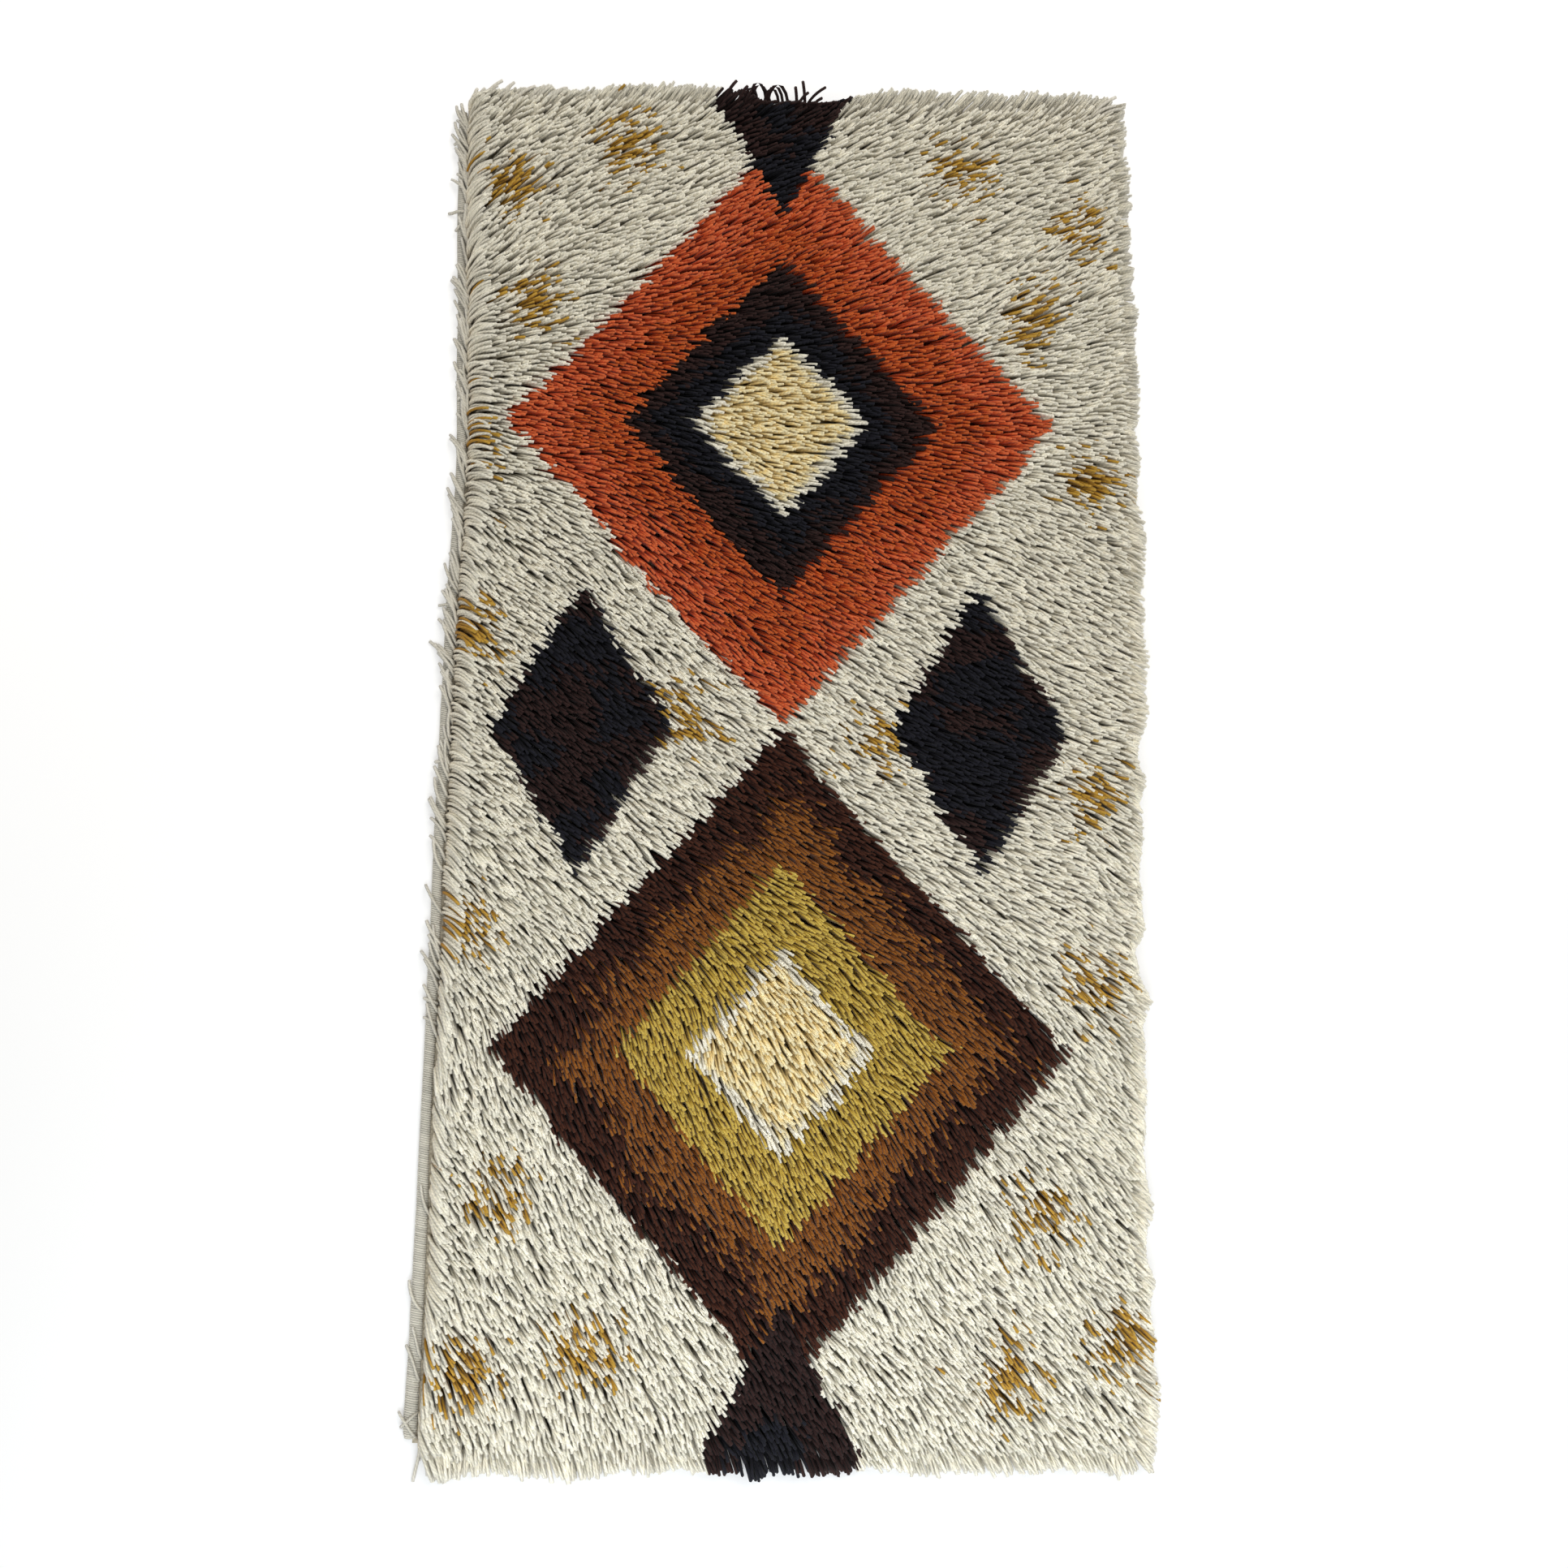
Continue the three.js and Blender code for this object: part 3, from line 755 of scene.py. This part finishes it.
# Loose yarn past the far end: single ends, cream and dark, and arches that start and end in the pile
looseCream = [
    {"x": -335, "side": 24, "out": 22}, {"x": -338, "side": 22, "out": 16}, {"x": -311, "side": 13, "out": 20},
    {"x": -314, "side": 12, "out": 17}, {"x": -303, "side": 28, "out": 16}, {"x": -300, "side": 22, "out": 15},
    {"x": -280, "side": 20, "out": 18}, {"x": -277, "side": 20, "out": 17}, {"x": -285, "side": 20, "out": 17},
    {"x": -268, "side": 26, "out": 15}, {"x": -264, "side": 24, "out": 15}, {"x": -338, "side": 8, "out": 12},
    {"x": -342, "side": 4, "out": 11}, {"x": 335, "side": 30, "out": 19}, {"x": 334, "side": 30, "out": 9},
    {"x": 341, "side": 28, "out": 5},
]
looseEnds = [
    {"x": 12, "side": -2, "out": 22}, {"x": 21, "side": -3, "out": 29}, {"x": 9, "side": 15, "out": 16},
    {"x": 18, "side": 25, "out": 23}, {"x": 25, "side": 14, "out": 10}, {"x": -72, "side": 17, "out": 28},
    {"x": -56, "side": 13, "out": 22}, {"x": -48, "side": 10, "out": 17},
]
arches = [
    {"start": -42, "stop": -21, "lean": 0, "out": 25}, {"start": -37, "stop": -15, "lean": -4, "out": 22},
    {"start": -26, "stop": -8, "lean": 1, "out": 18}, {"start": -24, "stop": -3, "lean": 1, "out": 21},
    {"start": -22, "stop": 3, "lean": 0, "out": 23}, {"start": -50, "stop": -33, "lean": 3, "out": 19},
]


def overEdge(x, y):
    # The least height of yarn that lies over the left edge
    half = column(cordWidths, y, "wide", "y") / 2
    middle = leftSide(y) - cordReach + half
    bulge = np.sqrt(np.clip(1 - ((x - middle) / (half + 1.7)) ** 2, 0, 1))
    return pile["yarnWidth"] / 2 + 0.4 + edge["height"] * bulge


def fallenPaths(draw):
    rows, y = [], clothNear + 5
    while y < clothFar - fallen["farGap"]:
        rows.append(y)
        y += column(fallenEvery, y, "every", "y") * (0.3 + 0.7 * draw.exponential())
    y = np.array(rows)
    count = len(y)
    stray = draw.uniform(0, 1, count) < fallen["strays"]
    swing = 13 * softNoise(y, y * 0, 34, 61) + draw.normal(0, 6, count)
    turn = np.radians(np.where(stray, draw.uniform(125, 240, count), fallen["turn"] + swing))
    length = np.where(
        stray,
        draw.uniform(fallen["shortestStray"], fallen["longestStray"], count),
        draw.uniform(fallen["shortest"], fallen["longest"], count))
    curl = np.radians(draw.normal(0, 20, count))
    fine = pile["steps"]
    places = np.zeros((count, fine + 1, 3))
    places[:, 0] = np.stack([leftSide(y) + draw.uniform(2.5, 5.5, count), y, np.full(count, clothTop)], 1)
    for k in range(fine):
        share = (k + 0.5) / fine
        lift = math.radians(74 * max(1 - share / 0.34, 0) ** 0.8 - 3)
        way = turn + curl * (share - 0.4)
        flatShare, upShare = math.cos(lift), math.sin(lift)
        step = np.stack([flatShare * np.cos(way), flatShare * np.sin(way), np.full(count, upShare)], 1)
        places[:, k + 1] = places[:, k] + step * (length / fine)[:, None]
    x, y = places[:, :, 0], places[:, :, 1]
    past = np.clip(leftSide(y) - cordReach - x, 0, None)
    places[:, :, 2] -= 0.7 * past
    grown = np.clip(np.linspace(0, 4, fine + 1), 0, 1)
    places[:, :, 2] = np.maximum(places[:, :, 2], clothTop + (overEdge(x, y) - clothTop) * grown)
    return places, turn


def pastFarEnd(rows, share):
    # Single ends that start in the pile and end past it
    return np.array([[
        (row["x"] + row["side"] * s ** 1.6, clothFar - 9 + (row["out"] + 9) * s, 12 + 12 * math.sin(2.1 * s))
        for s in share] for row in rows])


def buildLooseYarn():
    draw = np.random.default_rng(fallen["seed"])
    places, turn = fallenPaths(draw)
    tone = draw.uniform(0.2, 1, len(places))
    cream, black = yarnMaterial("loose_cream_yarn", fallen["yarn"]), bpy.data.materials["black_yarn"]
    piece = strandObject("fallen_cream", places, turn, tone, cream, byEdge)
    dressPiece(piece, "shag_pile")
    share = np.linspace(0, 1, 9)
    hanging = np.array([[
        (row["x"] + row["side"] * s, clothNear + 5 - (row["out"] + 5) * s, 3.4 + 9 * (1 - s) ** 1.5)
        for s in share] for row in hangingEnds])
    rounds = np.array([[
        (row["start"] + (row["stop"] - row["start"]) * (0.5 - 0.5 * math.cos(math.pi * s))
         + row["lean"] * math.sin(math.pi * s),
         clothFar - 9 + (row["out"] + 9) * math.sin(math.pi * s) ** 0.8,
         12 + 13 * math.sin(math.pi * s))
        for s in share] for row in arches])
    form = {"at": share, "size": np.full(len(share), 1.05), "sides": 5, "sideShade": 0.2}
    for name, paths, way, material in (
            ("loose_black", pastFarEnd(looseEnds, share), 90, black),
            ("arches_black", rounds, 90, black),
            ("hanging_cream", hanging, -90, cream),
            ("loose_cream", pastFarEnd(looseCream, share), 80, cream)):
        turn = np.full(len(paths), math.radians(way))
        piece = strandObject(name, paths, turn, draw.uniform(0, 1, len(paths)), material, form)
        dressPiece(piece, "shag_pile")
    report(f"{len(places)} fallen ends, loose ends and arches")


edge = {
    "turnPitch": 2.2,  # one turn of the whipping
    "turnRings": (0.0, 0.28, 0.72),  # where in a turn its groove and its crest are
    "height": 7.2,
    "groove": 1.15,
    "slant": 1.1,
    "sides": 8,
    "colour": (230, 224, 208),
    "tip": (245, 241, 228),
}


def buildEdge(name, node, sideAt, outward, material, seed):
    draw = np.random.default_rng(seed)
    low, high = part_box(node)
    start, stop = low.y / mm, high.y / mm
    turns = int((stop - start) / edge["turnPitch"])
    each = len(edge["turnRings"])
    y = start + (stop - start) * (np.arange(turns)[:, None] + np.array(edge["turnRings"])).ravel() / turns
    y = np.append(y, stop)
    crest = np.sign(np.arange(len(y)) % each)
    grown = draw.uniform(0.55, 1.2, turns + 1).repeat(each)[: len(y)]
    width = column(cordWidths, y, "wide", "y")
    size = 1 - 2 * edge["groove"] / width * (1 - crest) * grown
    toEnd = np.minimum(y - start, stop - y)
    size *= 0.6 + 0.4 * np.sqrt(np.clip(toEnd / 9, 0, 1))
    size *= 1 + 0.035 * softNoise(y, y * 0, 26, seed + 1)
    angles = 2 * math.pi * (np.arange(edge["sides"]) + 0.5) / edge["sides"]
    wide = np.cos(angles) / math.cos(math.pi / edge["sides"])
    tall = np.sin(angles) / math.cos(math.pi / edge["sides"])
    middle = sideAt(y) + outward * (cordReach - width / 2 + 0.25 * softNoise(y, y * 0, 60, seed + 2))
    ring = np.zeros((len(y), edge["sides"], 3))
    ring[:, :, 0] = middle[:, None] + wide[None, :] * (width / 2 * size)[:, None]
    ring[:, :, 1] = y[:, None] + edge["slant"] * wide[None, :] * outward * np.clip(toEnd / 4, 0, 1)[:, None]
    ring[:, :, 2] = 0.35 + edge["height"] / 2 * (1 + tall[None, :] * size[:, None])
    sides, rings = edge["sides"], len(y)
    k = np.arange(sides)
    after = (k + 1) % sides
    base = (np.arange(rings - 1) * sides)[:, None]
    quads = np.stack([base + k, base + sides + k, base + sides + after, base + after], -1).reshape(-1, 4)
    last = (rings - 1) * sides
    caps = [(0, j, j + 1) for j in range(1, sides - 1)]
    caps += [(last, last + j + 1, last + j) for j in range(1, sides - 1)]
    piece = meshObject(name, ring.reshape(-1, 3), quads, np.array(caps), material)
    # Painted shade and highlight: each turn's groove takes the darker root colour and its crest leans to the
    # lighter tip colour
    pointValues(piece, "along", np.repeat(0.2 + 0.65 * crest, sides))
    turnTone = 0.86 + 0.22 * draw.uniform(0, 1, turns + 1)
    pointValues(piece, "tone", np.repeat(turnTone.repeat(each)[:rings], sides))
    corners = np.stack([np.tile(np.stack([k, k, k + 1, k + 1], 1) / sides, (rings - 1, 1)),
                        np.tile([0.0, 1.0, 1.0, 0.0], (len(quads), 1))], -1).reshape(-1, 2)
    corners = np.concatenate([corners, np.zeros((3 * len(caps), 2))])
    cornerMap(piece, "yarnTurn", corners)
    dressPiece(piece, node)
    return piece


def buildEdges():
    # root darkens the whipping's grooves as painted shade
    whipping = {"colour": edge["colour"], "tip": edge["tip"], "root": 0.38, "plyDepth": 0.04}
    material = yarnMaterial("whipping_yarn", whipping)
    left = buildEdge("edge_left", "whipped_edge_left", leftSide, -1, material, 41)
    right = buildEdge("edge_right", "whipped_edge_right", rightSide, 1, material, 47)
    report("whipped edges")
    return left, right


cloth = {
    "warp": (172, 162, 142),
    "weft": (206, 196, 175),
    "picks": 420.0,  # a metre of cloth
    "ends": 300.0,
    "across": 20,
    "lengthwise": 40,
}


def buildCloth(edges):
    material, shader = newMaterial("ground_weave", 0.92)
    node = placeGroup(material, plainWeave, {
        "Warp Colour": linear(cloth["warp"]),
        "Weft Colour": linear(cloth["weft"]),
        "Picks": cloth["picks"],
        "Ends": cloth["ends"],
        "Slub": 0.5,
    })
    linkGroup(material, shader, node, 0.6, 0.0006)
    wide, long = cloth["across"], cloth["lengthwise"]
    s, y = np.meshgrid(np.linspace(0, 1, wide + 1), np.linspace(clothNear, clothFar, long + 1))
    x = leftSide(y) + (rightSide(y) - leftSide(y)) * s
    rim = (s > 0) & (s < 1) & (y > clothNear) & (y < clothFar)
    top = clothTop - 0.25 + 0.2 * softNoise(x, y, 30, 50) * rim
    upper = np.stack([x, y, top], -1).reshape(-1, 3)
    lower = np.stack([x, y, np.full_like(x, 0.02)], -1).reshape(-1, 3)
    i, j = np.meshgrid(np.arange(wide), np.arange(long))
    a = (j * (wide + 1) + i).reshape(-1)
    cells = np.stack([a, a + 1, a + wide + 2, a + wide + 1], 1)
    below = len(upper)
    border = np.concatenate([
        np.arange(wide), np.arange(long) * (wide + 1) + wide,
        long * (wide + 1) + np.arange(wide, 0, -1), np.arange(long, 0, -1) * (wide + 1)])
    follow = np.roll(border, -1)
    walls = np.stack([border + below, follow + below, follow, border], 1)
    quads = np.concatenate([cells, cells[:, ::-1] + below, walls])
    piece = meshObject("cloth", np.concatenate([upper, lower]), quads, np.zeros((0, 3), int), material)
    piece.data.set_sharp_from_angle(angle=math.radians(40))
    dressPiece(piece, "ground_cloth")
    report("ground cloth")


surroundings = {
    "floorColour": (0.82, 0.82, 0.82, 1),
    "floorGlow": {"near": 0.17, "far": 0.44},
    "worldColour": (1, 0.985, 0.96, 1),
    "worldStrength": 0.52,
    "keyPower": 264.0,
    "keyPlace": (3.4, 4.5, 7.0),
    "keySize": 5.8,
    "fillPower": 6.7,
    "fillPlace": (0.05, -1.42, 1.38),
    "fillSize": 1.5,
    "spread": {"key": 180, "fill": 100},  # in degrees
    "litPlace": {"key": (0, 0, 0), "fill": (0.02, -1.1, 0)},
    "tint": {"key": (1, 0.98, 0.94), "fill": (0.87, 0.94, 1)},
}
camera = {
    "place": (-0.0602, -0.3465, 1.7335),
    "turn": (0.1682, -0.0353, 0.0064),  # the axis to turn about, as long as the angle in radians
    "lens": 38.96,
    "sensor": 36.0,
}


def buildSurroundings():
    bpy.ops.mesh.primitive_plane_add(size=8)
    floor = bpy.context.object
    floor.name = "floor"
    material, shader = newMaterial("pale_floor", 0.8)
    shader.inputs["Base Color"].default_value = surroundings["floorColour"]
    # The floor's glow grows to the far end, because the fill light lies on the near end
    tree = material.node_tree
    parts = addNode(tree, "ShaderNodeSeparateXYZ", (-800, 0))
    tree.links.new(addNode(tree, "ShaderNodeTexCoord", (-1000, 0)).outputs["Object"], parts.inputs[0])
    glow = surroundings["floorGlow"]
    glowColour = remap(tree, parts.outputs[1], -1.0, 0.9, glow["near"], glow["far"], (-600, 0))
    tree.links.new(glowColour, shader.inputs["Emission Color"])
    shader.inputs["Emission Strength"].default_value = 1.0
    floor.data.materials.append(material)
    world = bpy.data.worlds.new("studio")
    world.use_nodes = True
    world.node_tree.nodes["Background"].inputs[0].default_value = surroundings["worldColour"]
    world.node_tree.nodes["Background"].inputs[1].default_value = surroundings["worldStrength"]
    scene.world = world
    for name in ("key", "fill"):
        light = bpy.data.lights.new(name, "AREA")
        light.shape = "DISK"
        light.size = surroundings[name + "Size"]
        light.spread = math.radians(surroundings["spread"][name])
        light.energy = surroundings[name + "Power"]
        light.color = surroundings["tint"][name]
        lamp = bpy.data.objects.new(name, light)
        scene.collection.objects.link(lamp)
        place = Vector(surroundings[name + "Place"])
        lamp.location = place
        towards = Vector(surroundings["litPlace"][name]) - place
        lamp.rotation_euler = towards.to_track_quat("-Z", "Y").to_euler()


def buildCamera():
    data = bpy.data.cameras.new("camera")
    data.lens = camera["lens"]
    data.sensor_width = camera["sensor"]
    data.sensor_fit = "HORIZONTAL"
    data.clip_end = 20
    eye = bpy.data.objects.new("camera", data)
    scene.collection.objects.link(eye)
    turn = Vector(camera["turn"])
    spin = Matrix.Rotation(turn.length, 4, turn.normalized())
    eye.matrix_world = Matrix.Translation(camera["place"]) @ spin
    scene.camera = eye


buildCamera()
buildSurroundings()
buildCloth(buildEdges())
buildPile()
buildLooseYarn()
report(f"{sum(triangleCounts)} triangles, at most {max(triangleCounts)} in a piece")
scene.view_settings.view_transform = "Standard"
